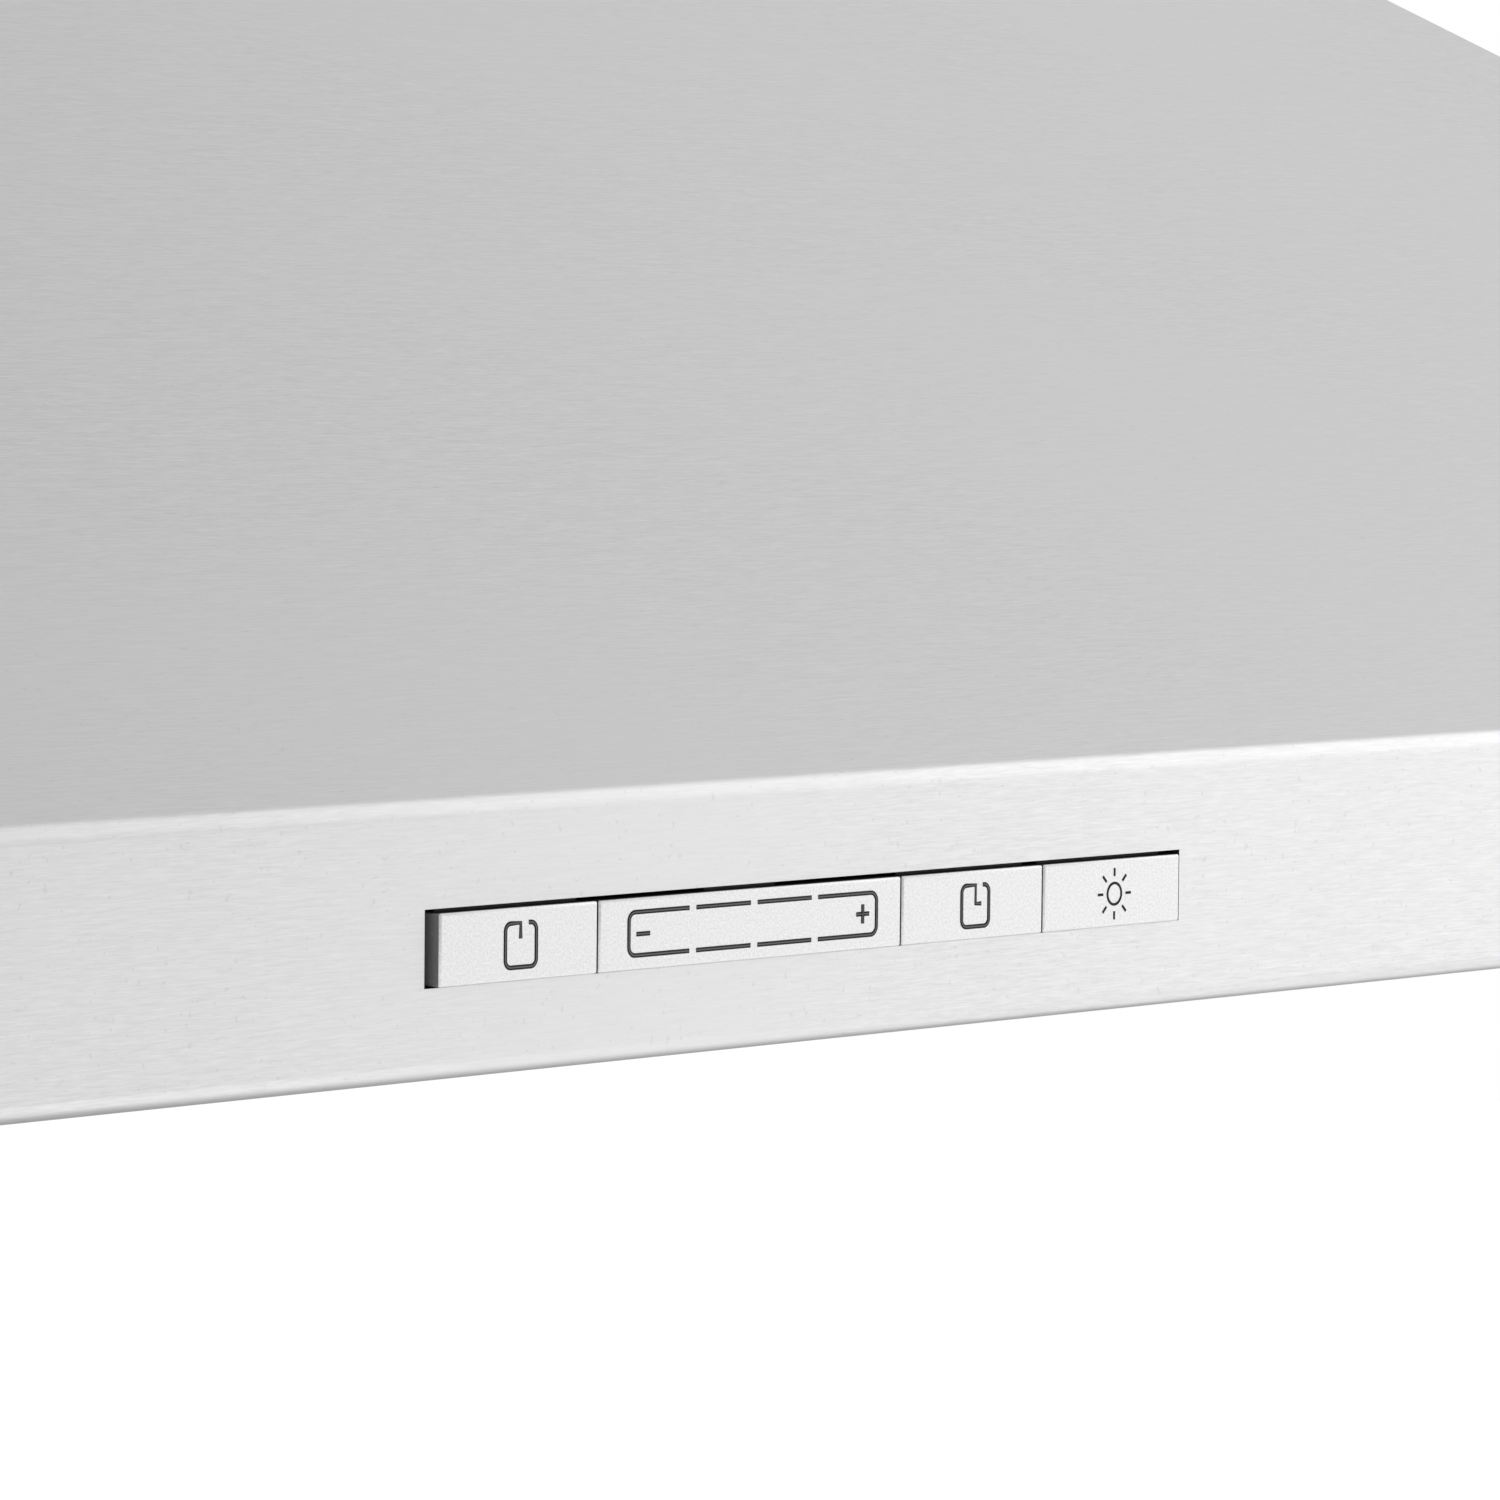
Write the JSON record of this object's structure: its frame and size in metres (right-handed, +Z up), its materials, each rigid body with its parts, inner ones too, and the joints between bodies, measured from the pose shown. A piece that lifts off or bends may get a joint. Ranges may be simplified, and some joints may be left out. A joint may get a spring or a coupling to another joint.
{
  "type": "under cabinet range hood",
  "caption": "Slim stainless range hood that hangs under a wall cabinet, with a sloped top, front key strip, baffle filters, lamps, blower and a round duct collar with damper.",
  "frame": {"origin": "centre of the four cabinet screw holes, on the top face of the canopy", "axes": "+X to the right seen from the front, +Y towards the wall, +Z up"},
  "size_m": [0.914, 0.56, 0.1933],
  "materials": {
    "stainless_sheet": "fine horizontal brush",
    "stainless_pan": "brushed, underside",
    "galvanised_sheet": "zinc-coated sheet",
    "rivet_steel": "plain",
    "screw_zinc": "zinc plated",
    "key_silver": "satin silver, fine grain",
    "black_plastic": "moulded",
    "shaft_steel": "ground",
    "board_green": "solder mask",
    "bezel_chrome": "polished",
    "lens_frosted": "frosted",
    "heat_sink_aluminium": "die cast",
    "filter_steel": "brushed",
    "ring_steel": "bright wire",
    "rubber_black": "moulded",
    "motor_paint": "black paint",
    "bearing_bronze": "sintered bronze",
    "stator_steel": "laminated steel",
    "impeller_plastic": "moulded",
    "seal_foam": "closed-cell foam",
    "terminal_plastic": "moulded",
    "case_grey": "moulded",
    "case_white": "moulded",
    "cable_grey": "sheathed",
    "cable_black": "sheathed"
  },
  "bodies": {
    "casing": {"back_panel": "galvanised_sheet", "blower_base_plate": "galvanised_sheet", "blower_cables": "cable_black", "blower_isolators": "rubber_black", "blower_scroll": "galvanised_sheet", "blower_top_plate": "galvanised_sheet", "bottom_pan": "stainless_pan", "canopy": "stainless_sheet", "capacitor_clip": "screw_zinc", "casing_rivets": "rivet_steel", "control_board": "board_green", "control_cable": "cable_grey", "control_cover": "black_plastic", "control_screws": "screw_zinc", "damper_pin": "shaft_steel", "damper_seal": "seal_foam", "discharge_box": "galvanised_sheet", "duct_collar": "galvanised_sheet", "inlet_guard": "ring_steel", "inlet_ring": "black_plastic", "key_frame": "black_plastic", "lamp_bezels": "bezel_chrome", "lamp_cables": "cable_black", "lamp_driver": "case_white", "lamp_heat_sinks": "heat_sink_aluminium", "lamp_lenses": "lens_frosted", "left_side_panel": "stainless_sheet", "motor_bearings": "bearing_bronze", "motor_housing": "motor_paint", "motor_stator": "stator_steel", "power_board": "board_green", "power_board_case": "case_grey", "rear_outlet_cover": "galvanised_sheet", "right_side_panel": "stainless_sheet", "rocker_pin": "shaft_steel", "run_capacitor": "case_white", "sheet_screws": "screw_zinc", "supply_cable": "cable_grey", "switch_bodies": "black_plastic", "terminal_block": "terminal_plastic", "wiring_box": "galvanised_sheet", "wiring_box_cover": "galvanised_sheet"},
    "power_key": {"power_key": "key_silver"},
    "speed_rocker": {"speed_rocker": "key_silver"},
    "timer_key": {"timer_key": "key_silver"},
    "light_key": {"light_key": "key_silver"},
    "blower_wheel": {"impeller": "impeller_plastic", "impeller_nut": "shaft_steel", "motor_shaft": "shaft_steel", "motor_rotor": "stator_steel"},
    "front_flap": {"front_damper_flap": "galvanised_sheet"},
    "rear_flap": {"rear_damper_flap": "galvanised_sheet"},
    "left_filter": {"left_filter_frame": "filter_steel", "left_filter_baffles": "filter_steel", "left_handle_plate": "filter_steel"},
    "right_filter": {"right_filter_frame": "filter_steel", "right_filter_baffles": "filter_steel", "right_handle_plate": "filter_steel"},
    "left_ring": {"left_pull_ring": "ring_steel"},
    "right_ring": {"right_pull_ring": "ring_steel"}
  },
  "joints": [
    {"name": "power_press", "type": "slide", "parent": "casing", "child": "power_key", "axis": [0, 1, 0], "range_m": [0, 0.0008], "stiffness_N_per_m": 1200, "springref_m": -0.0004},
    {"name": "timer_press", "type": "slide", "parent": "casing", "child": "timer_key", "axis": [0, 1, 0], "range_m": [0, 0.0008], "stiffness_N_per_m": 1200, "springref_m": -0.0004},
    {"name": "light_press", "type": "slide", "parent": "casing", "child": "light_key", "axis": [0, 1, 0], "range_m": [0, 0.0008], "stiffness_N_per_m": 1200, "springref_m": -0.0004},
    {"name": "speed_rock", "type": "hinge", "parent": "casing", "child": "speed_rocker", "pos_m": [-0.01311, -0.4044, -0.13192], "axis": [0, 0, 1], "range_deg": [-1.5, 1.5], "stiffness_Nm_per_rad": 1.1},
    {"name": "wheel_spin", "type": "hinge", "parent": "casing", "child": "blower_wheel", "pos_m": [-0.19, -0.013, -0.05], "axis": [0, 0, 1], "continuous": true},
    {"name": "front_flap_lift", "type": "hinge", "parent": "casing", "child": "front_flap", "pos_m": [0, 0.06, 0.02], "axis": [-1, 0, 0], "range_deg": [0, 75]},
    {"name": "rear_flap_lift", "type": "hinge", "parent": "casing", "child": "rear_flap", "pos_m": [0, 0.06, 0.02], "axis": [1, 0, 0], "range_deg": [0, 75]},
    {"name": "left_filter_drop", "type": "hinge", "parent": "casing", "child": "left_filter", "pos_m": [-0.215, 0.115, -0.12596], "axis": [1, 0, 0], "range_deg": [0, 75]},
    {"name": "left_ring_swing", "type": "hinge", "parent": "left_filter", "child": "left_ring", "pos_m": [-0.215, -0.236, -0.13076], "axis": [1, 0, 0], "range_deg": [-80, 80]},
    {"name": "right_filter_drop", "type": "hinge", "parent": "casing", "child": "right_filter", "pos_m": [0.215, 0.115, -0.12596], "axis": [1, 0, 0], "range_deg": [0, 75]},
    {"name": "right_ring_swing", "type": "hinge", "parent": "right_filter", "child": "right_ring", "pos_m": [0.215, -0.236, -0.13076], "axis": [1, 0, 0], "range_deg": [-80, 80]}
  ]
}
